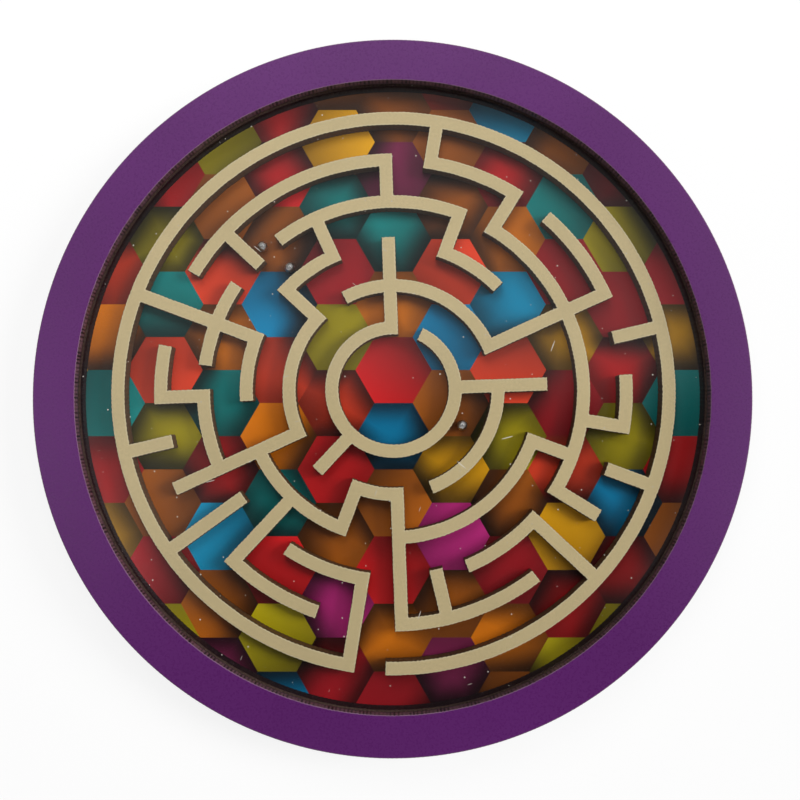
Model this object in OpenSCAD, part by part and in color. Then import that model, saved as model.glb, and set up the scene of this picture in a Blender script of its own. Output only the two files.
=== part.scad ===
// Round ball maze: discs and rings of laser-cut board glued in a stack around one open
// wall pattern, with a clear cover that keeps three steel balls in.
// Origin: middle of the underside. +Z is up through the cover, +Y is the top of the picture.

/* [Outline] */
// Outside diameter of the wall pattern
maze_d = 160; // [140:1:190]
// Width of the round track between the wall pattern and the frame
track_w = 8.25; // [7:0.25:12]
// Width of the flat frame around the window
frame_w = 11.75; // [8:0.25:18]

/* [Sheets] */
// Thickness of the base board
base_t = 3; // [2:0.5:6]
// Thickness of the printed sheet that the balls roll on
picture_t = 0.3; // [0.1:0.1:1]
// Thickness of the clear cover
cover_t = 2; // [1.5:0.5:4]
// Thickness of the frame ring on top of the cover
ring_t = 3; // [2:0.5:6]

/* [Maze] */
// Inside diameter of the goal in the middle
goal_d = 31; // [26:1:40]
// Width of every wall
wall_w = 4; // [3:0.25:5]
// Turn of the whole wall pattern in degrees, counter-clockwise
maze_turn = 2; // [-10:0.5:10]
// How far the wall pattern is glued to the right of the middle
maze_off_x = 0.2; // [-2:0.1:2]
// How far the wall pattern is glued above the middle
maze_off_y = 1; // [-2:0.1:2]

/* [Balls] */
// Diameter of the steel balls
ball_d = 3; // [2:0.1:4]
// Clearance above and below a ball between the picture and the cover, taken together
ball_clearance = 1; // [0.5:0.1:2]
// Height of a ball over the picture
ball_lift = 0.2; // [0.1:0.05:0.4]
// Distance from a ball to the wall that it lies beside
ball_gap = 1; // [0.3:0.1:1.5]
// Sector of the second ball, in the lane outside ring 3
ball_2_sector = 11.4; // [10.6:0.1:13.4]
// Sector of the third ball, in the lane outside ring 1
ball_3_sector = 29.4; // [21.4:0.1:31]

/* [Hidden] */
$fn = 128;

// The lanes run on 6 rings and 32 sectors, counted outwards and counter-clockwise from +X
rings = 6;
sectors = 32;
// Widest angle between two points on the rim of a wedge that cuts a ring
wedge_step = 60;

// Ring walls: [ring, first sector, last sector], counter-clockwise and across sector 0 if need be
arcs = [
    [1, 8, 5],
    [2, 2, 10], [2, 12, 18], [2, 22, 24], [2, 26, 0],
    [3, 4, 6], [3, 10, 12], [3, 14, 16], [3, 18, 22], [3, 24, 30],
    [4, 6, 11], [4, 13, 15], [4, 16, 18], [4, 21, 23], [4, 26, 28], [4, 29, 5],
    [5, 2, 4], [5, 5, 7], [5, 8, 13], [5, 15, 16], [5, 20, 22], [5, 24, 27], [5, 31, 0],
    [6, 23.8, 23]
];

// Straight walls: [sector, inner ring, outer ring]
spokes = [
    [0, 1, 3], [1, 5, 6], [2, 2, 5], [5, 4, 5], [6, 3, 4], [7, 5, 6], [8, 1, 3], [8, 4, 5],
    [10, 3, 4], [12, 2, 3], [12, 4, 5], [14, 3, 6], [16, 4, 5], [17, 5, 6], [18, 2, 5],
    [19, 4, 6], [20, 1, 2], [20, 3, 5], [22, 2, 3], [23, 4, 6], [24, 2, 5], [25, 4, 5],
    [28, 4, 6], [29, 4, 5], [30, 3, 4], [30, 5, 6], [31, 4, 5]
];

// Sector of the stub that the first ball lies beside
ball_1_sector = 12;

// Radii of the window and of the whole stack
window_r = maze_d / 2 + track_w;
outer_r = window_r + frame_w;

// The walls and the spacer ring are cut from one sheet, which leaves the balls their room
wall_t = ball_d + ball_clearance;

// Heights of the layers, from the underside up
picture_z = base_t;
floor_z = picture_z + picture_t;
cover_z = floor_z + wall_t;
ring_z = cover_z + cover_t;

// Rings are evenly spaced from the goal to the outside of the wall pattern
ring_pitch = (maze_d / 2 - wall_w - goal_d / 2) / (rings - 1);
function ring_r(ring) = (goal_d + wall_w) / 2 + (ring - 1) * ring_pitch;
function sector_deg(sector) = sector * 360 / sectors + maze_turn;

// A wall that ends free runs on by half its width, and one that ends in a spoke stops there
function meets_spoke(ring, sector) =
    len([for (s = spokes) if (s[0] == sector && s[1] <= ring && ring <= s[2]) s]) > 0;
function run_on(ring, sector) = meets_spoke(ring, sector) ? 0 : asin(wall_w / 2 / ring_r(ring));

// Distance of a ball's middle from the middle line of the wall that it lies beside
ball_side = wall_w / 2 + ball_gap + ball_d / 2;

// Plan of a ring
module ring_plan(r_in, r_out) {
    difference() {
        circle(r = r_out);
        circle(r = r_in);
    }
}

// Plan of one wall along a ring: the ring inside a wedge from the first sector to the last
module arc_plan(ring, first, last) {
    start = sector_deg(first) - run_on(ring, first);
    stop = sector_deg(last) + run_on(ring, last) + (last < first ? 360 : 0);
    steps = ceil((stop - start) / wedge_step);
    rim = [for (i = [0 : steps]) start + i * (stop - start) / steps];
    intersection() {
        ring_plan(ring_r(ring) - wall_w / 2, ring_r(ring) + wall_w / 2);
        polygon(concat([[0, 0]], [for (a = rim) maze_d * [cos(a), sin(a)]]));
    }
}

// Plan of one straight wall, ended by the faces of the rings that it joins
module spoke_plan(sector, inner, outer) {
    end_r = ring_r(outer) + wall_w / 2;
    intersection() {
        rotate(sector_deg(sector))
        translate([0, -wall_w / 2])
        square([end_r + wall_w, wall_w]);
        ring_plan(ring_r(inner) - wall_w / 2, end_r);
    }
}

// The wall pattern's own place on the picture
module on_maze() {
    translate([maze_off_x, maze_off_y, floor_z])
    children();
}

// A ball at a distance along a sector line and aside from it
module ball(sector, along, aside) {
    color("silver")
    on_maze()
    rotate(sector_deg(sector))
    translate([along, aside, ball_lift + ball_d / 2])
    sphere(d = ball_d);
}

module base_board() {
    color("peru")
    cylinder(r = outer_r, h = base_t);
}

module picture_disc() {
    color("firebrick")
    translate([0, 0, picture_z])
    cylinder(r = outer_r, h = picture_t);
}

module spacer_ring() {
    color("saddlebrown")
    translate([0, 0, floor_z])
    linear_extrude(wall_t)
    ring_plan(window_r, outer_r);
}

module maze() {
    color("tan")
    on_maze()
    linear_extrude(wall_t)
    union() {
        for (a = arcs) arc_plan(a[0], a[1], a[2]);
        for (s = spokes) spoke_plan(s[0], s[1], s[2]);
    }
}

module clear_cover() {
    color("lightcyan", 0.3)
    translate([0, 0, cover_z])
    cylinder(r = outer_r, h = cover_t);
}

module top_ring() {
    color("rebeccapurple")
    translate([0, 0, ring_z])
    linear_extrude(ring_t)
    ring_plan(window_r, outer_r);
}

// Level with the outer face of ring 4, on the clockwise side of its stub
module ball_1() {
    ball(ball_1_sector, ring_r(4) + wall_w / 2, -ball_side);
}

module ball_2() {
    ball(ball_2_sector, ring_r(3) + ball_side, 0);
}

module ball_3() {
    ball(ball_3_sector, ring_r(1) + ball_side, 0);
}

base_board();
picture_disc();
spacer_ring();
maze();
clear_cover();
top_ring();
ball_1();
ball_2();
ball_3();
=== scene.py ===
import math
import bpy
import numpy as np
from mathutils.geometry import delaunay_2d_cdt
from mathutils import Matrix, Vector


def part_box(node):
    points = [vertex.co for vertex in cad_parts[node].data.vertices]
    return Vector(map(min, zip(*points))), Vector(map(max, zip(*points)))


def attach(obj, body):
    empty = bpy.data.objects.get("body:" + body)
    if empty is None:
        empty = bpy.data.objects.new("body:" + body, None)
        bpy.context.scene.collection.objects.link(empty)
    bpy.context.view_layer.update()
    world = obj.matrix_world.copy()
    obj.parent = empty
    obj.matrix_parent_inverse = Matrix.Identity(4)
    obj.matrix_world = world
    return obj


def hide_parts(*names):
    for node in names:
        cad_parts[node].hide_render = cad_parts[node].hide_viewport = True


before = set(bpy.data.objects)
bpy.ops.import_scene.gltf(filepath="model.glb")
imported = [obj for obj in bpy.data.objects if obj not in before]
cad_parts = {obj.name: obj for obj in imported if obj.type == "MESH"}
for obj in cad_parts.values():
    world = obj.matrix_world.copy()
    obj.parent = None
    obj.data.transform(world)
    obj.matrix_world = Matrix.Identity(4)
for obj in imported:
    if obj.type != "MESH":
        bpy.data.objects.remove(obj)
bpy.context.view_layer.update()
mm = 0.001
print("frame loaded:", len(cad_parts), "solids")


# screen colour, 0 to 255, as the linear colour that a shader takes
def paint(red, green, blue):
    share = np.array([red, green, blue]) / 255
    linear = np.where(share <= 0.04045, share / 12.92, ((share + 0.055) / 1.055) ** 2.4)
    return (*linear.tolist(), 1.0)


# quads between neighbours on a grid numbered row by row; either way round may close on itself
def gridFaces(rows, columns, closeRows=False, closeColumns=True):
    row, column = np.meshgrid(np.arange(rows if closeRows else rows - 1),
                              np.arange(columns if closeColumns else columns - 1), indexing="ij")
    nextRow = (row + 1) % rows
    nextColumn = (column + 1) % columns
    corners = [row * columns + column, row * columns + nextColumn,
               nextRow * columns + nextColumn, nextRow * columns + column]
    return np.stack(corners, axis=-1).reshape(-1, 4).tolist()


# triangles that close the first and the last row of a grid, each a fan on one point added after the grid
def fanFaces(rows, columns):
    column = np.arange(columns)
    beside = (column + 1) % columns
    last = (rows - 1) * columns
    firstFan = np.stack([np.full(columns, rows * columns), beside, column], axis=1)
    lastFan = np.stack([np.full(columns, rows * columns + 1), last + column, last + beside], axis=1)
    return firstFan.tolist() + lastFan.tolist()


# sum of cosines with whole wave counts and random phases, so it closes after one turn; about -1 to 1
def wander(turn, lowest, highest, waves, seed):
    dice = np.random.default_rng(seed)
    counts = dice.integers(lowest, highest, waves)
    phases = dice.uniform(0, 2 * math.pi, waves)
    return np.cos(np.outer(turn, counts) + phases).sum(axis=1) / math.sqrt(waves * 2)


# marks of the laser: how far one comes early or late, how deep it is and by how much that differs
laser = {"late": 0.9, "deep": 0.75, "uneven": 0.25, "waves": 18}


# laser streaks round a cut wall: raised cosine of the mark count, each mark a little early or late, which
# drifts over 3 to 9 marks, and a little deeper or shallower, over 4 to 12; 0 on a ridge, 1 in a groove
def streaks(turn, marks, seed):
    late = laser["late"] * wander(turn, marks // 9, marks // 3, laser["waves"], seed)
    deep = laser["deep"] + laser["uneven"] * wander(turn, marks // 12, marks // 4, laser["waves"], seed + 1)
    return np.clip(deep * (0.5 - 0.5 * np.cos(marks * turn + late)), 0, 1)


# points and faces as a mesh on its body, with the fields that its material reads
def meshPiece(name, points, faces, fields, material, body, slot, *nodes):
    mesh = bpy.data.meshes.new(name)
    mesh.from_pydata(points, [], faces)
    for field, values in fields.items():
        layer = mesh.attributes.new(field, "FLOAT", "POINT")
        layer.data.foreach_set("value", np.ascontiguousarray(values, np.float32).ravel())
    mesh.shade_smooth()
    mesh.materials.append(material)
    piece = bpy.data.objects.new(name, mesh)
    bpy.context.scene.collection.objects.link(piece)
    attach(piece, body)
    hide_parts(*nodes)
    print(name, len(points), "points,", len(faces), "faces")


# shorthand for one material's nodes: made by type, with values or sockets for the inputs
class Finish:
    def __init__(self, name):
        self.material = bpy.data.materials.new(name)
        self.material.use_nodes = True
        self.tree = self.material.node_tree
        self.tree.nodes.clear()

    def node(self, kind, inputs=None, **settings):
        made = self.tree.nodes.new("ShaderNode" + kind)
        for key, value in settings.items():
            setattr(made, key, value)
        for key, value in (inputs or {}).items():
            if isinstance(value, bpy.types.NodeSocket):
                self.tree.links.new(value, made.inputs[key])
            else:
                made.inputs[key].default_value = value
        return made

    def calc(self, operation, *values, clamp=False):
        return self.node("Math", dict(enumerate(values)), operation=operation, use_clamp=clamp).outputs[0]

    def vec(self, operation, *values, out="Vector"):
        return self.node("VectorMath", dict(enumerate(values)), operation=operation).outputs[out]

    def mix(self, share, first, second):
        return self.node("Mix", {0: share, 6: first, 7: second}, data_type="RGBA").outputs[2]

    def field(self, name):
        return self.node("Attribute", attribute_name=name).outputs["Fac"]

    def place(self):
        return self.node("TexCoord").outputs["Object"]

    def noise(self, where, scale, detail, rough=0.5):
        made = self.node("TexNoise", {"Vector": where, "Scale": scale, "Detail": detail, "Roughness": rough})
        return made.outputs["Fac"]

    def span(self, value, low, high, toLow=0.0, toHigh=1.0, way="SMOOTHSTEP"):
        made = self.node("MapRange", {"Value": value, "From Min": low, "From Max": high, "To Min": toLow,
                                      "To Max": toHigh}, interpolation_type=way)
        return made.outputs[0]

    def bump(self, height, depth, strength):
        made = self.node("Bump", {"Height": height, "Distance": depth * mm, "Strength": strength})
        return made.outputs["Normal"]

    def done(self, shader):
        self.node("OutputMaterial", {"Surface": shader})
        return self.material


# camera: nearly overhead, a little from the bottom edge of the picture; mm and degrees
shot = {"aim": (2.05, -2.0, 7.3), "away": 226.9, "lean": 2.5, "lens": 36.0, "sensor": 36.0, "near": 5.0}
camera = bpy.data.objects.new("camera", bpy.data.cameras.new("camera"))
bpy.context.scene.collection.objects.link(camera)
camera.data.lens = shot["lens"]
camera.data.sensor_width = shot["sensor"]
camera.data.clip_start = shot["near"] * mm
lean = math.radians(shot["lean"])
camera.location = [mm * (a + shot["away"] * b)
                   for a, b in zip(shot["aim"], (0, -math.sin(lean), math.cos(lean)))]
camera.rotation_euler = (lean, 0, 0)
bpy.context.scene.camera = camera

# lamps as power, size and place in metres: a wide one from the right, as of a window, and a weak one over the
# top edge, both aimed at the middle
lamps = {"windowLamp": (156.0, 2.0, (3.71, 0.74, 2.45)), "topLamp": (0.74, 0.26, (-0.04, 0.26, 0.33))}
for name, (power, size, spot) in lamps.items():
    light = bpy.data.lights.new(name, "AREA")
    light.shape = "DISK"
    light.size = size
    light.energy = power
    holder = bpy.data.objects.new(name, light)
    bpy.context.scene.collection.objects.link(holder)
    holder.location = spot
    slant = math.atan2(math.hypot(spot[0], spot[1]), spot[2])
    holder.rotation_euler = (0, slant, math.atan2(spot[1], spot[0]))
    holder.visible_glossy = False  # cover and balls mirror the sky, not the lamps
    holder.visible_transmission = False

# sky: a dark cap overhead with a thin veil of light over its top half and its left, round it a bright belt
# that is dim low down, behind the camera and low on the left, and a rear wall far behind the camera. Single
# numbers are levels of light, apart from the cap's lean to the top edge, in degrees; pairs are where along a
# direction a part starts and where it is full
skyLook = {"zenith": 0.016, "capLean": 5.0, "capEdge": (0.94, 0.885),
           "veil": 0.24, "veilTop": (0.01, 0.11), "veilLeft": (-0.15, -0.29), "veilLeftLow": (-0.25, -0.08),
           "belt": 1.45, "low": 0.064, "beltHeight": (0.64, 0.82),
           "behind": 0.05, "beltFront": (-0.23, -0.14),
           "left": 0.05, "leftSide": (0.15, -0.35), "leftLow": (0.86, 0.78),
           "rear": 0.50, "rearWall": (-0.42, -0.66), "horizon": (0.45, 0.25)}
sky = bpy.data.worlds.new("sky")
bpy.context.scene.world = sky
sky.use_nodes = True
skyNodes = sky.node_tree.nodes
skyLinks = sky.node_tree.links
skyNodes.clear()
compass = skyNodes.new("ShaderNodeSeparateXYZ")
skyLinks.new(skyNodes.new("ShaderNodeTexCoord").outputs["Generated"], compass.inputs[0])
toRight, toTop, upwards = compass.outputs


# smooth step along a direction: 0 at its start, 1 where it is full, whichever of them is larger
def skyFade(across, start, full):
    fade = skyNodes.new("ShaderNodeMapRange")
    fade.interpolation_type = "SMOOTHSTEP"
    fade.inputs["From Min"].default_value = min(start, full)
    fade.inputs["From Max"].default_value = max(start, full)
    fade.inputs["To Min"].default_value = float(start > full)
    fade.inputs["To Max"].default_value = float(start < full)
    skyLinks.new(across, fade.inputs["Value"])
    return fade.outputs[0]


# one sum of the sky, from sockets and numbers
def skyCalc(operation, *values):
    made = skyNodes.new("ShaderNodeMath")
    made.operation = operation
    for socket, value in zip(made.inputs, values):
        if isinstance(value, float):
            socket.default_value = value
        else:
            skyLinks.new(value, socket)
    return made.outputs[0]


# level from one number to another, by a fade
def skyBetween(fade, first, second):
    return skyCalc("MULTIPLY_ADD", fade, second - first, first)


capLean = math.radians(skyLook["capLean"])
capward = skyCalc("MULTIPLY_ADD", toTop, math.sin(capLean), skyCalc("MULTIPLY", upwards, math.cos(capLean)))
veilLeft = skyCalc("MULTIPLY", skyFade(toRight, *skyLook["veilLeft"]),
                   skyFade(toTop, *skyLook["veilLeftLow"]))
veilShare = skyCalc("MAXIMUM", skyFade(toTop, *skyLook["veilTop"]), veilLeft)
veil = skyCalc("MULTIPLY", veilShare, skyLook["veil"])
front = skyBetween(skyFade(toTop, *skyLook["beltFront"]), skyLook["behind"], 1.0)
leftLow = skyCalc("MULTIPLY", skyFade(toRight, *skyLook["leftSide"]), skyFade(upwards, *skyLook["leftLow"]))
aside = skyBetween(leftLow, 1.0, skyLook["left"])
belt = skyBetween(skyFade(upwards, *skyLook["beltHeight"]), skyLook["low"], skyLook["belt"])
outside = skyCalc("MULTIPLY", skyCalc("MULTIPLY", front, aside), belt)
rear = skyCalc("MULTIPLY", skyFade(toTop, *skyLook["rearWall"]), skyLook["rear"])
overhead = skyCalc("ADD", skyCalc("ADD", rear, veil), skyLook["zenith"])
brighter = skyCalc("SUBTRACT", outside, veil)
level = skyCalc("MULTIPLY_ADD", brighter, skyFade(capward, *skyLook["capEdge"]), overhead)

# rays that are seen get white near the horizon, so that no dark edge shows behind the floor
skyPath = skyNodes.new("ShaderNodeLightPath").outputs
seenSky = skyCalc("MAXIMUM", skyPath["Is Camera Ray"],
                  skyCalc("MAXIMUM", skyPath["Is Glossy Ray"], skyPath["Is Transmission Ray"]))
backdrop = skyCalc("MULTIPLY", seenSky, skyFade(upwards, *skyLook["horizon"]))
glow = skyNodes.new("ShaderNodeBackground")
glow.inputs["Color"].default_value = (1, 1, 1, 1)
strength = skyCalc("MULTIPLY_ADD", skyCalc("SUBTRACT", 1.0, level), backdrop, level)
skyLinks.new(strength, glow.inputs["Strength"])
skyLinks.new(glow.outputs[0], skyNodes.new("ShaderNodeOutputWorld").inputs["Surface"])
bpy.context.scene.view_settings.view_transform = "Standard"

# floor: flat grid of x and y just under the base; seen rays get most of its white as glow
paperSheet = {"half": 3.0, "lines": 9, "drop": 0.1, "color": paint(248, 248, 248), "glow": 0.85}
paper = Finish("whitePaper")
path = paper.node("LightPath").outputs
seen = paper.calc("MAXIMUM", path["Is Camera Ray"],
                  paper.calc("MAXIMUM", path["Is Glossy Ray"], path["Is Transmission Ray"]))
plain = paper.node("BsdfDiffuse", {"Color": paperSheet["color"]}).outputs[0]
white = paper.node("Emission", {"Color": (1, 1, 1, 1), "Strength": 1.0}).outputs[0]
glowing = paper.calc("MULTIPLY", seen, paperSheet["glow"])
paper.done(paper.node("MixShader", {0: glowing, 1: plain, 2: white}).outputs[0])
lines = np.linspace(-paperSheet["half"], paperSheet["half"], paperSheet["lines"])
sheetX, sheetY = np.meshgrid(lines, lines)
sheetPoints = np.stack([sheetX, sheetY, np.full_like(sheetX, -paperSheet["drop"] * mm)], -1).reshape(-1, 3)
floorMesh = bpy.data.meshes.new("floor")
floorMesh.from_pydata(sheetPoints, [], gridFaces(len(lines), len(lines), closeColumns=False))
floorMesh.materials.append(paper.material)
floor = bpy.data.objects.new("floor", floorMesh)
bpy.context.scene.collection.objects.link(floor)
print("camera, lamps, sky and floor set")

# looks of the cut board. A noise is its scale, detail and roughness; a relief is its depth in mm and strength
scorch = {"dark": paint(20, 8, 15), "brown": paint(104, 73, 82), "smoked": paint(76, 58, 54),
          "patch": (420.0, 3.0, 0.65), "uneven": 1.1, "groove": (0.0, 0.7)}
fibre = {"dark": paint(94, 74, 62), "pale": paint(130, 108, 92), "contrast": (0.2, 0.8), "less": 0.25,
         "fine": (2600.0, 4.0, 0.7), "fineShare": 0.8, "slow": (650.0, 4.0, 0.65), "slowShare": 0.7,
         "streaky": 0.6, "roughness": 0.78, "specular": 0.25, "grain": (1800.0, 3.0, 0.6),
         "relief": (0.06, 0.6)}
coating = {"fine": (1500.0, 3.0, 0.7), "fineRange": (0.25, 0.75),
           "slow": (28.0, 2.0), "slowRange": (0.3, 0.7), "slowTone": 0.05,
           "rub": (420.0, 3.0), "rubRange": (0.2, 0.5), "sheenRange": (0.3, 0.7), "smoother": 0.05,
           "rougher": 0.07, "burntRougher": 0.3, "specular": 0.46, "relief": (0.025, 0.35)}


# colour of a laser-cut wall: dark grooves, browner ridges, uneven soot, darkest where the soot-and-shade
# field is 1 (soot, with painted shade at wall feet and on the spacer's inner wall)
def scorchColor(finish, where, brown, darkest, streaky):
    patch = finish.noise(where, *scorch["patch"])
    uneven = finish.calc("MULTIPLY_ADD", patch, scorch["uneven"], -scorch["uneven"] / 2)
    groove = finish.calc("MULTIPLY_ADD", finish.field("streak"), streaky, uneven)
    dark = finish.calc("MAXIMUM", finish.span(groove, *scorch["groove"]), finish.field("soot"))
    return finish.mix(dark, brown, darkest)


# colour of raw fibreboard: short pale and dark fibres over slow patches
def fibreColor(finish, where):
    fine = finish.noise(where, *fibre["fine"])
    slow = finish.noise(where, *fibre["slow"])
    flecks = finish.calc("MULTIPLY_ADD", slow, fibre["slowShare"],
                         finish.calc("MULTIPLY_ADD", fine, fibre["fineShare"], -fibre["less"]), clamp=True)
    return finish.mix(finish.span(flecks, *fibre["contrast"]), fibre["dark"], fibre["pale"])


# raw board: fibre on its faces, smoke and soot where the burn field says so
def boardFinish(name):
    board = Finish(name)
    where = board.place()
    burnt = scorchColor(board, where, scorch["smoked"], scorch["dark"], fibre["streaky"])
    color = board.mix(board.field("burn"), fibreColor(board, where), burnt)
    relief = board.bump(board.noise(where, *fibre["grain"]), *fibre["relief"])
    shader = board.node("BsdfPrincipled", {"Base Color": color, "Roughness": fibre["roughness"],
                                           "Specular IOR Level": fibre["specular"], "Normal": relief})
    return board.done(shader.outputs[0])


# painted board: satin paint with faint speckle on top, pale at the edge as worn paint and painted highlight,
# scorched walls
def paintedFinish(name, look):
    coat = Finish(name)
    where = coat.place()
    fine = coat.noise(where, *coating["fine"])
    slow = coat.noise(where, *coating["slow"])
    speckle = coat.span(fine, *coating["fineRange"], 1 - look["speckle"], 1 + look["speckle"], "LINEAR")
    patches = coat.span(slow, *coating["slowRange"], -coating["slowTone"], coating["slowTone"], "LINEAR")
    tone = coat.calc("ADD", speckle, patches)
    base = coat.node("HueSaturation", {"Color": look["color"], "Value": tone}).outputs[0]
    # pale band on the arris: worn paint and a painted highlight
    paleEdgeShare = coat.span(coat.noise(where, *coating["rub"]), *coating["rubRange"])
    top = coat.mix(coat.calc("MULTIPLY", coat.field("edge"), paleEdgeShare), base, look["rubbed"])
    burnt = scorchColor(coat, where, look["side"], look["soot"], look["streaky"])
    tint = coat.mix(coat.field("burn"), top, burnt)
    sheen = coat.span(fine, *coating["sheenRange"], look["roughness"] - coating["smoother"],
                      look["roughness"] + coating["rougher"], "LINEAR")
    dull = coat.calc("MULTIPLY", coat.field("burn"), coating["burntRougher"])
    shader = coat.node("BsdfPrincipled", {"Base Color": tint, "Specular IOR Level": coating["specular"],
                                          "Roughness": coat.calc("ADD", sheen, dull, clamp=True),
                                          "Normal": coat.bump(fine, *coating["relief"])})
    return coat.done(shader.outputs[0])


# shape of every cut. Away: distances of the face's rows from the edge, in mm, and smoke: their share of
# the stain. Soot: soot with painted contact shade at the foot, soot up the wall and on the upper arris. Inner
# wear: power on the burn of the inner arris, which bares pale paint as wear and painted highlight
cut = {"away": (0.25, 1.2, 6.0, 25.0, 55.0, 85.0), "smoke": (1, 0.45, 0, 0, 0, 0), "bendRows": 5,
       "footSootAndShade": 1.0, "wallSoot": (0.4, 0.1, 0.0), "topSoot": 0.4, "innerWearAndHighlight": 2.0}


# rows up one laser-cut wall: lower quarter circle, upright wall, upper quarter circle. Columns: radius,
# height, push of the streaks (-1 shrinks the radius, 1 widens it), burn, edge, soot with painted shade. The
# burn on the upper arris is the cosine of its bend to the power of wear, which bares pale paint as wear and
# painted highlight, and the soot is nowhere less than the wall's level of painted shade, which paints shade
# over a whole inner wall
def wallRows(size, radius, push, sooty=0.0, arrisWearAndHighlight=1.0):
    soft, low, high = size["soft"], size["low"], size["high"]
    bend = np.linspace(0, math.pi / 2, cut["bendRows"])
    rise = np.linspace(low + soft, high - soft, len(cut["wallSoot"]) + 2)[1:-1]
    upright = np.zeros_like(rise)
    inset = np.concatenate([1 - np.sin(bend), upright, 1 - np.cos(bend)])
    height = np.concatenate([low + soft - soft * np.cos(bend), rise, high - soft + soft * np.sin(bend)])
    burn = np.concatenate([np.sin(bend), upright + 1, np.cos(bend) ** arrisWearAndHighlight])
    edge = np.concatenate([np.zeros_like(bend), upright, np.sin(2 * bend)])
    # soot with painted contact shade at the foot, soot up the wall and on the upper arris
    soot = np.concatenate([np.full_like(bend, cut["footSootAndShade"]), cut["wallSoot"],
                           np.full_like(bend, cut["topSoot"])])
    return np.stack([radius + push * soft * inset, height, np.full_like(height, push),
                     np.maximum(burn, size["smoke"]), edge, np.maximum(soot, sooty)], axis=1)


# rows across a flat face at one height, smoke-stained beside the cuts; columns as for a wall
def faceRows(radii, height, stain):
    zero = np.zeros_like(radii)
    return np.stack([radii, zero + height, zero, stain, zero, zero], axis=1)


# cut ring or disc: a section turned about Z, its radius plus push times streak depth. A ring's section goes
# up the outer wall, in over the top, down the inner wall and back along the underside, closed both ways.
# A disc's goes from the middle of the underside round to the middle of the top, each a fan on one point
def cutPiece(name, size, material, slot, node):
    isRing = "inner" in size
    rim = size["outer"] - size["soft"]
    away = np.array(cut["away"])
    smoke = size["smoke"] * np.array(cut["smoke"])
    outerWall = wallRows(size, size["outer"], -1.0)
    if isRing:
        hole = size["inner"] + size["soft"]
        across = np.array([rim - away[0], rim - away[1], hole + away[1], hole + away[0]])
        stain = smoke[[0, 1, 1, 0]]
        # the inner wall takes the piece's level of painted shade, and a higher power on its arris burn for
        # the pale rim
        innerWall = wallRows(size, size["inner"], 1.0, size["sooty"], cut["innerWearAndHighlight"])
        section = np.concatenate([outerWall, faceRows(across, size["high"], stain), innerWall[::-1],
                                  faceRows(across[::-1], size["low"], stain)])
    else:
        across = rim - away
        section = np.concatenate([faceRows(across[::-1], size["low"], smoke[::-1]), outerWall,
                                  faceRows(across, size["high"], smoke)])
    radii, heights, pushes = section[:, :3].T
    turn = np.linspace(0, 2 * math.pi, size["steps"], endpoint=False)
    groove = streaks(turn, size["marks"], size["seed"])
    depth = np.where(pushes < 0, size["outerDepth"], size.get("innerDepth", 0.0)) * pushes
    radius = radii[:, None] + depth[:, None] * groove
    rows, columns = radius.shape
    grid = np.stack([radius * np.cos(turn), radius * np.sin(turn),
                     np.broadcast_to(heights[:, None], radius.shape)], axis=-1).reshape(-1, 3)
    fields = {field: np.broadcast_to(section[:, place, None], radius.shape).ravel()
              for place, field in ((3, "burn"), (4, "edge"), (5, "soot"))}
    fields["streak"] = np.broadcast_to(groove, radius.shape).ravel()
    faces = gridFaces(rows, columns, closeRows=isRing)
    if not isRing:
        grid = np.concatenate([grid, [[0, 0, size["low"]], [0, 0, size["high"]]]])
        fields = {field: np.append(values, [0, 0]) for field, values in fields.items()}
        faces += fanFaces(rows, columns)
    meshPiece(name, grid * mm, faces, fields, material, "case", slot, node)


# frame ring: purple paint, its inner and outer walls scorched and streaked by the cut
frameRing = {"inner": 88.26, "outer": 99.95, "low": 9.31, "high": 12.29, "soft": 0.28, "marks": 520,
             "steps": 2600, "innerDepth": 0.12, "outerDepth": 0.04, "seed": 5, "smoke": 0.0, "sooty": 0.0,
             # rubbed: pale paint on the upper arris, worn paint with a painted highlight, strongest on the
             # inner rim
             "color": paint(86, 29, 98), "rubbed": paint(140, 108, 134), "side": scorch["brown"],
             "soot": scorch["dark"], "streaky": 0.75, "speckle": 0.05, "roughness": 0.28}
cutPiece("frameRing", frameRing, paintedFinish("purplePaint", frameRing), "purple_board", "top_ring")

# spacer: raw board between the picture and the cover; its inner wall is painted dark almost all over, as
# painted shade of the recess under the frame ring and cover
spacerRing = {"inner": 88.26, "outer": 99.95, "low": 3.32, "high": 7.28, "soft": 0.12, "marks": 440,
              "steps": 2640, "innerDepth": 0.12, "outerDepth": 0.04, "seed": 9, "smoke": 0.8, "sooty": 0.9}
rawBoard = boardFinish("rawBoard")
cutPiece("spacerRing", spacerRing, rawBoard, "board", "spacer_ring")

# base: raw board, plain underside
baseDisc = {"outer": 99.95, "low": 0.0, "high": 2.99, "soft": 0.15, "marks": 440, "steps": 2200,
            "outerDepth": 0.04, "seed": 13, "smoke": 0.5}
cutPiece("baseBoard", baseDisc, rawBoard, "board", "base_board")

# walls: outline of the flat solid walked in order, then a soft-edged section carried along it. Foot, collar
# and lip place rows above the foot, below the arris and inside the top; the row lists go from foot to lip
maze = {"low": 3.31, "high": 7.26, "soft": 0.16, "foot": 0.6, "collar": 0.45, "lip": 0.3, "bendRows": 4,
        "step": 0.32, "sharpest": 1.2, "pitch": 1.25, "depth": 0.18, "wave": 0.05, "waves": (60, 700, 24),
        "seed": 21, "burnRows": (1, 1, 1, 1, 0.8, 0.35, 0, 0), "edgeRows": (0, 0, 0, 0, 0.3, 0.8, 1, 0),
        # soot rows: soot with painted contact shade at the foot, then soot below and on the arris
        "sootRows": (0.7, 0.1, 0.1, 0.9, 0.9, 0.6, 0, 0),
        "color": paint(194, 176, 134), "rubbed": paint(206, 192, 156), "side": paint(90, 62, 38),
        "soot": paint(38, 25, 15), "streaky": 0.25, "speckle": 0.10, "roughness": 0.55}


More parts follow.
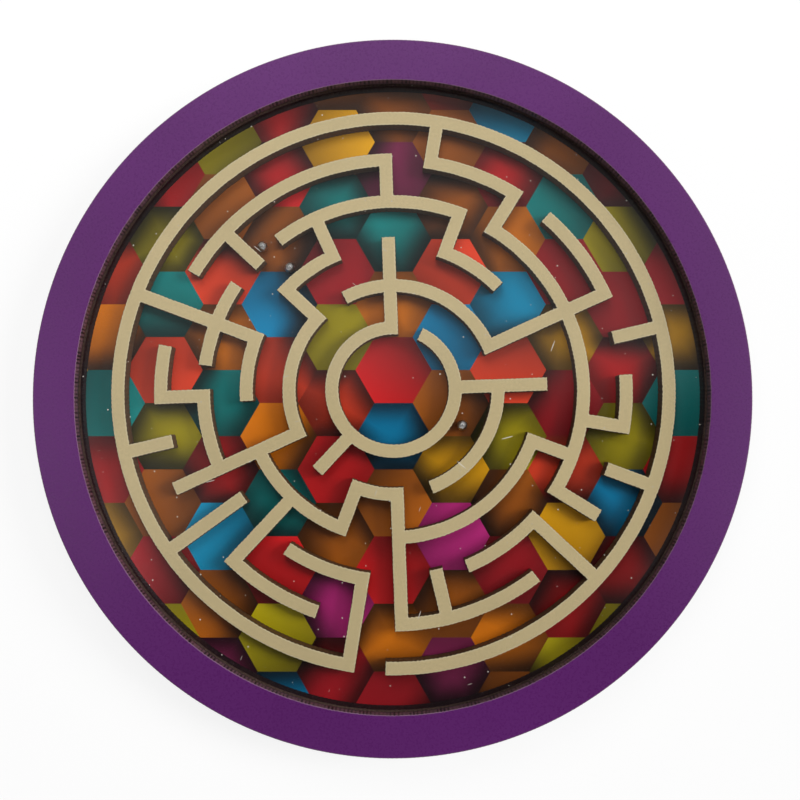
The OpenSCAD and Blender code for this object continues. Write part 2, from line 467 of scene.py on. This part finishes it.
# plan outline of a flat solid, in mm: edges of its top triangles that no other triangle shares, put in order
# by doubling the jump to the next point until the walk has every point once
def topOutline(node):
    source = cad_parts[node].data
    source.calc_loop_triangles()
    spots = np.empty(len(source.vertices) * 3, np.float32)
    source.vertices.foreach_get("co", spots)
    corners = np.empty(len(source.loop_triangles) * 3, np.int32)
    source.loop_triangles.foreach_get("vertices", corners)
    microns = np.round(spots.reshape(-1, 3) * 1e6).astype(np.int64)
    merged, number = np.unique(microns, axis=0, return_inverse=True)
    triangles = number.ravel()[corners].reshape(-1, 3)
    onTop = (merged[triangles][:, :, 2] > merged[:, 2].max() - 5).all(axis=1)  # within 5 microns of the top
    triangles = triangles[onTop]
    edges = np.concatenate([triangles[:, [0, 1]], triangles[:, [1, 2]], triangles[:, [2, 0]]])
    count = len(merged)
    rim = edges[~np.isin(edges[:, 0] * count + edges[:, 1], edges[:, 1] * count + edges[:, 0])]
    jump = np.arange(count)
    jump[rim[:, 0]] = rim[:, 1]
    walk = rim[:1, 0]
    while len(walk) < len(rim):
        walk = np.concatenate([walk, jump[walk]])
        jump = jump[jump]
    return merged[walk[:len(rim)], :2] / 1000.0


# inward direction at each point of a closed outline that has its walls on the left: the two sides' left
# normals added and stretched, so that both sides move in by one unit, and less where a corner is too sharp
def inwardAt(ahead):
    heading = ahead / np.hypot(*ahead.T)[:, None]
    joined = heading + np.roll(heading, 1, axis=0)
    left = np.stack([-joined[:, 1], joined[:, 0]], axis=1)
    return 2 * left / np.maximum((left ** 2).sum(axis=1), maze["sharpest"])[:, None]


# triangles that fill a closed plan outline, as numbers of its points, all facing up; the 1 keeps only its
# inside, and 1e-6 is how near two points are when they count as one
def fillOutline(ring):
    filled = delaunay_2d_cdt(ring.tolist(), [], [list(range(len(ring)))], 1, 1e-6)
    source = np.array(list(map(min, filled[3])))  # lowest number among points that count as one
    return source[np.array(filled[2])]


# each side of the outline cut into short steps, numbered by side and by their share of the way along it
outline = topOutline("maze")
ahead = np.roll(outline, -1, axis=0) - outline
stepCount = np.maximum(1, np.round(np.hypot(*ahead.T) / maze["step"])).astype(int)
side = np.repeat(np.arange(len(outline)), stepCount)
nextSide = (side + 1) % len(outline)
along = (np.arange(len(side)) - np.repeat(np.cumsum(stepCount) - stepCount, stepCount)) / stepCount[side]
plan = outline[side] + ahead[side] * along[:, None]

# ripple of the cut: streaks at the pitch and a slow drift, both taken off inwards
length = np.hypot(*(np.roll(plan, -1, axis=0) - plan).T)
whole = 2 * math.pi * (np.cumsum(length) - length) / length.sum()
mazeMarks = int(round(length.sum() / maze["pitch"]))
mazeGroove = streaks(whole, mazeMarks, maze["seed"])
drift = 0.5 + 0.5 * wander(whole, *maze["waves"], maze["seed"] + 2)
shave = maze["depth"] * mazeGroove + maze["wave"] * np.clip(drift, 0, 1)

# section: upright wall, quarter circle, lip; inset moves the corners in and the ripple is added to it
bend = np.linspace(0, math.pi / 2, maze["bendRows"])
shoulder = maze["high"] - maze["soft"]
rise = np.concatenate([[maze["low"], maze["low"] + maze["foot"], shoulder - maze["collar"]],
                       shoulder + maze["soft"] * np.sin(bend), [maze["high"]]])
inset = np.concatenate([np.zeros(3), maze["soft"] - maze["soft"] * np.cos(bend),
                        [maze["soft"] + maze["lip"]]])
insetCorners = outline[None] + inwardAt(ahead)[None] * inset[:, None, None]
ripple = inwardAt(ahead[side]) * shave[:, None]
mazePlan = (insetCorners[:, side] * (1 - along)[None, :, None]
            + insetCorners[:, nextSide] * along[None, :, None] + ripple)
rows, columns = mazePlan.shape[:2]
mazeHeight = np.broadcast_to(rise[:, None, None], (rows, columns, 1))
mazePoints = np.concatenate([mazePlan, mazeHeight], axis=2).reshape(-1, 3)
mazeFaces = gridFaces(rows, columns)
mazeFaces += fillOutline(mazePlan[0])[:, ::-1].tolist()
mazeFaces += (fillOutline(mazePlan[-1]) + (rows - 1) * columns).tolist()
mazeFields = {field: np.broadcast_to(np.array(maze[field + "Rows"])[:, None], (rows, columns))
              for field in ("burn", "edge", "soot")}
mazeFields["streak"] = np.broadcast_to(mazeGroove, (rows, columns))
cream = paintedFinish("creamPaint", maze)
meshPiece("mazeWalls", mazePoints * mm, mazeFaces, mazeFields, cream, "case", "cream_board", "maze")

# picture: hexagons with flat tops on a honeycomb, soft shade where a neighbour lies over a cell. Layout,
# heights, slopes and strays are seeds; same is how near two cell numbers are when they count as one, and
# nudge puts an accent safely inside its ink's share
picture = {"outer": 99.95, "low": 3.01, "high": 3.29, "soft": 0.05, "marks": 96, "steps": 480,
           "outerDepth": 0.0, "seed": 31, "smoke": 0.0, "side": 11.0, "middle": (0.2, 6.8),
           "shade": 0.90, "reach": 9.0, "above": (0.0, 0.4), "lean": 0.56, "light": 0.90,
           "layout": 3.0, "heights": 13.0, "slopes": 23.0, "strays": 33.0, "stray": 0.25, "same": 0.4,
           "nudge": 0.01, "grain": (3200.0, 2.0), "grainRange": (0.3, 0.7), "grainTone": (0.95, 1.05),
           "roughness": 0.45, "specular": 0.3, "buckle": (900.0, 2.0), "relief": (0.01, 0.4)}

# inks: share and screen colour, in three families of equal share, reds first, then yellows, then the rest
inks = {"red": (2.2, 178, 20, 24), "flame": (1.8, 204, 58, 30), "crimson": (1.5, 150, 18, 28),
        "wine": (0.5, 116, 30, 70),
        "olive": (2.5, 154, 140, 10), "orange": (2.0, 206, 112, 8), "amber": (1.5, 204, 146, 6),
        "blue": (1.0, 0, 116, 160), "sky": (0.7, 0, 132, 172), "teal": (1.2, 0, 116, 114),
        "magenta": (0.5, 180, 38, 118), "brown": (2.6, 148, 78, 12)}

# cells round the goal with an ink of their own, by half columns and half rows from the middle cell
accents = {(0, 0): "red", (0, -2): "blue", (-1, -1): "flame", (1, -1): "brown", (-1, 1): "olive",
           (1, 1): "blue", (0, 2): "orange", (0, 4): "teal"}
neighbours = [(1, 1), (0, 2), (-1, 1), (-1, -1), (0, -2), (1, -1)]  # counter-clockwise from 30 degrees


# print: the cell's own ink, times its tilt, its shade and the grain
def pictureFinish():
    sheet = Finish("pictureInk")
    side = picture["side"] * mm
    high = side * math.sqrt(3)
    where = sheet.place()

    # a honeycomb is two grids of oblongs, half a step apart: the nearer middle is the cell's own
    shifted = sheet.vec("SUBTRACT", where, (picture["middle"][0] * mm, picture["middle"][1] * mm, 0.0))
    flat = sheet.vec("MULTIPLY", shifted, (1.0, 1.0, 0.0))
    half = (1.5 * side, high / 2, 1.0)
    back = tuple(-h for h in half)
    first = sheet.vec("WRAP", flat, half, back)
    second = sheet.vec("WRAP", sheet.vec("SUBTRACT", flat, (1.5 * side, high / 2, 0.0)), half, back)
    nearer = sheet.calc("LESS_THAN", sheet.vec("LENGTH", second, out="Value"),
                        sheet.vec("LENGTH", first, out="Value"))
    inside = sheet.node("Mix", {0: nearer, 4: first, 5: second}, data_type="VECTOR").outputs[1]
    cell = sheet.vec("FLOOR", sheet.vec("MULTIPLY_ADD", sheet.vec("SUBTRACT", flat, inside),
                                        (1 / half[0], 1 / half[1], 0.0), (0.5, 0.5, 0.0)))
    column, row = sheet.node("SeparateXYZ", {0: cell}).outputs[:2]

    # seeded number of a cell, or of its neighbour
    def dice(seed, shift=(0, 0), out="Value"):
        spot = sheet.vec("ADD", cell, (*shift, seed))
        return sheet.node("TexWhiteNoise", {"Vector": spot}, noise_dimensions="3D").outputs[out]

    # ink family: a number that differs by 1 or 2 between neighbours, modulo 3, so that they differ in family,
    # apart from the strays, which are one further on
    turn = sheet.calc("MULTIPLY_ADD", column, 1.5, sheet.calc("MULTIPLY", row, -0.5))
    stray = sheet.calc("GREATER_THAN", dice(picture["strays"]), 1 - picture["stray"])
    family = sheet.calc("FLOORED_MODULO", sheet.calc("ROUND", sheet.calc("ADD", turn, stray)), 3.0)
    pick = sheet.calc("DIVIDE", sheet.calc("ADD", family, dice(picture["layout"])), 3.0)
    share = np.array([ink[0] for ink in inks.values()])
    starts = dict(zip(inks, ((np.cumsum(share) - share) / share.sum()).tolist()))
    for (accentColumn, accentRow), ink in accents.items():
        here = sheet.calc("MULTIPLY", sheet.calc("COMPARE", column, float(accentColumn), picture["same"]),
                          sheet.calc("COMPARE", row, float(accentRow), picture["same"]))
        own = starts[ink] + picture["nudge"]
        pick = sheet.node("Mix", {0: here, 2: pick, 3: own}, data_type="FLOAT").outputs[0]
    ramp = sheet.node("ValToRGB", {"Fac": pick})
    ramp.color_ramp.interpolation = "CONSTANT"
    stops = ramp.color_ramp.elements
    stops.remove(stops[1])
    for ink, start in starts.items():
        stop = stops.new(start) if start > 0 else stops[0]
        stop.color = paint(*inks[ink][1:])

    # shade: the deepest of six, each near one side and under a neighbour that lies higher; then a tilt of
    # the cell's own and a fine grain
    height = dice(picture["heights"])
    shade = None
    for number, shift in enumerate(neighbours):
        angle = math.radians(30 + 60 * number)
        toward = sheet.vec("DOT_PRODUCT", inside, (math.cos(angle), math.sin(angle), 0.0), out="Value")
        close = sheet.span(toward, high / 2 - picture["reach"] * mm, high / 2)
        higher = sheet.calc("SUBTRACT", dice(picture["heights"], shift), height)
        part = sheet.calc("MULTIPLY", close, sheet.span(higher, *picture["above"]))
        shade = part if shade is None else sheet.calc("MAXIMUM", shade, part)
    slope = sheet.vec("MULTIPLY_ADD", dice(picture["slopes"], out="Color"), (2.0, 2.0, 0.0),
                      (-1.0, -1.0, 0.0))
    downhill = sheet.vec("DOT_PRODUCT", inside, slope, out="Value")
    tilt = sheet.calc("MULTIPLY", downhill, picture["lean"] / side)
    light = sheet.calc("MULTIPLY", sheet.calc("ADD", tilt, picture["light"]),
                       sheet.calc("MULTIPLY_ADD", shade, -picture["shade"], 1.0))
    grain = sheet.span(sheet.noise(where, *picture["grain"]), *picture["grainRange"], *picture["grainTone"],
                       "LINEAR")
    inked = sheet.node("VectorMath", {0: ramp.outputs[0], "Scale": sheet.calc("MULTIPLY", light, grain)},
                       operation="SCALE").outputs["Vector"]
    tint = sheet.mix(sheet.field("burn"), inked, scorch["dark"])
    relief = sheet.bump(sheet.noise(where, *picture["buckle"]), *picture["relief"])
    shader = sheet.node("BsdfPrincipled", {"Base Color": tint, "Roughness": picture["roughness"],
                                           "Specular IOR Level": picture["specular"], "Normal": relief})
    return sheet.done(shader.outputs[0])


cutPiece("pictureSheet", picture, pictureFinish(), "printed_sheet", "picture_disc")

# cover: clear acrylic with a few dust specks and short scratches on its upper face. Each sits in a cell of a
# random pattern, and only cells whose own number is over a limit have one, the larger the higher it is
cover = {"outer": 99.95, "low": 7.31, "high": 9.29, "soft": 0.12, "marks": 96, "steps": 480,
         "outerDepth": 0.02, "seed": 43, "smoke": 0.0, "color": (0.985, 0.985, 0.98, 1), "roughness": 0.015,
         "ior": 1.49, "through": (0.96, 0.96, 0.955, 1), "skin": 0.01, "dust": paint(232, 226, 214),
         "dustShare": 0.55, "specks": 150.0, "speckLimit": 0.62, "speckSize": 0.034,
         "scratches": (420.0, 36.0), "turns": (20.0, 75.0, 130.0), "apart": 7.3, "scratchLimit": 0.984,
         "scratchWidth": 0.06}


# clear sheet with dull marks on its upper skin, one set of scratches for each turn
def acrylicFinish():
    glass = Finish("clearAcrylic")
    where = glass.place()
    upper = glass.calc("GREATER_THAN", glass.node("SeparateXYZ", {0: where}).outputs[2],
                       (cover["high"] - cover["skin"]) * mm)
    speck = glass.node("TexVoronoi", {"Vector": where, "Scale": cover["specks"]}, voronoi_dimensions="2D")
    chance = glass.node("SeparateColor", {0: speck.outputs["Color"]}).outputs[0]
    size = glass.span(chance, cover["speckLimit"], 1.0, 0.0, cover["speckSize"], "LINEAR")
    mark = glass.calc("LESS_THAN", speck.outputs["Distance"], size)
    for number, turn in enumerate(cover["turns"]):
        turned = glass.node("VectorRotate", {"Vector": where, "Angle": math.radians(turn)},
                            rotation_type="Z_AXIS").outputs[0]
        stretched = glass.vec("MULTIPLY_ADD", turned, (*cover["scratches"], 1.0),
                              (cover["apart"] * number, 0.0, 0.0))
        line = glass.node("TexVoronoi", {"Vector": stretched, "Scale": 1.0}, voronoi_dimensions="2D")
        rare = glass.node("SeparateColor", {0: line.outputs["Color"]}).outputs[1]
        width = glass.span(rare, cover["scratchLimit"], 1.0, 0.0, cover["scratchWidth"], "LINEAR")
        mark = glass.calc("MAXIMUM", mark, glass.calc("LESS_THAN", line.outputs["Distance"], width))
    clear = glass.node("BsdfPrincipled", {"Base Color": cover["color"], "Roughness": cover["roughness"],
                                          "IOR": cover["ior"], "Transmission Weight": 1.0}).outputs[0]
    dust = glass.node("BsdfDiffuse", {"Color": cover["dust"]}).outputs[0]
    dustShare = glass.calc("MULTIPLY", glass.calc("MULTIPLY", mark, upper), cover["dustShare"])
    dusty = glass.node("MixShader", {0: dustShare, 1: clear, 2: dust}).outputs[0]

    # light passes straight through to what lies under the cover
    through = glass.node("BsdfTransparent", {"Color": cover["through"]}).outputs[0]
    path = glass.node("LightPath").outputs
    soft = glass.node("MixShader", {0: path["Is Diffuse Ray"], 1: dusty, 2: through}).outputs[0]
    return glass.done(glass.node("MixShader", {0: path["Is Shadow Ray"], 1: soft, 2: through}).outputs[0])


cutPiece("clearCover", cover, acrylicFinish(), "clear_acrylic", "clear_cover")

# balls: dull steel, a sphere of latitude and longitude with a shared point at each pole
balls = {"names": ("ball_1", "ball_2", "ball_3"), "round": 64, "rings": 31, "shrink": 0.995,
         "color": (0.80, 0.79, 0.78, 1), "rub": (2200.0, 4.0, 0.7), "rubRange": (0.3, 0.75),
         "roughness": (0.24, 0.36), "relief": (0.001, 0.15)}


# dull steel: one noise sets both its roughness and its fine relief
def steelFinish():
    steel = Finish("ballSteel")
    rubbed = steel.noise(steel.place(), *balls["rub"])
    shader = steel.node("BsdfPrincipled", {
        "Base Color": balls["color"], "Metallic": 1.0,
        "Roughness": steel.span(rubbed, *balls["rubRange"], *balls["roughness"], "LINEAR"),
        "Normal": steel.bump(rubbed, *balls["relief"])})
    return steel.done(shader.outputs[0])


ballSteel = steelFinish()
lift = np.linspace(-math.pi / 2, math.pi / 2, balls["rings"] + 2)[1:-1, None]
around = np.linspace(0, 2 * math.pi, balls["round"], endpoint=False)[None]
shell = np.stack([np.cos(lift) * np.cos(around), np.cos(lift) * np.sin(around),
                  np.broadcast_to(np.sin(lift), (balls["rings"], balls["round"]))], axis=-1).reshape(-1, 3)
shell = np.concatenate([shell, [[0, 0, -1], [0, 0, 1]]])
ballFaces = gridFaces(balls["rings"], balls["round"]) + fanFaces(balls["rings"], balls["round"])
for name in balls["names"]:
    low, high = (np.array(corner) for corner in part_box(name))
    middle = (low + high) / 2
    reach = (high - low).min() / 2 * balls["shrink"]
    pieceName = name.replace("_", "") + "Steel"
    meshPiece(pieceName, middle + reach * shell, ballFaces, {}, ballSteel, name, "steel", name)
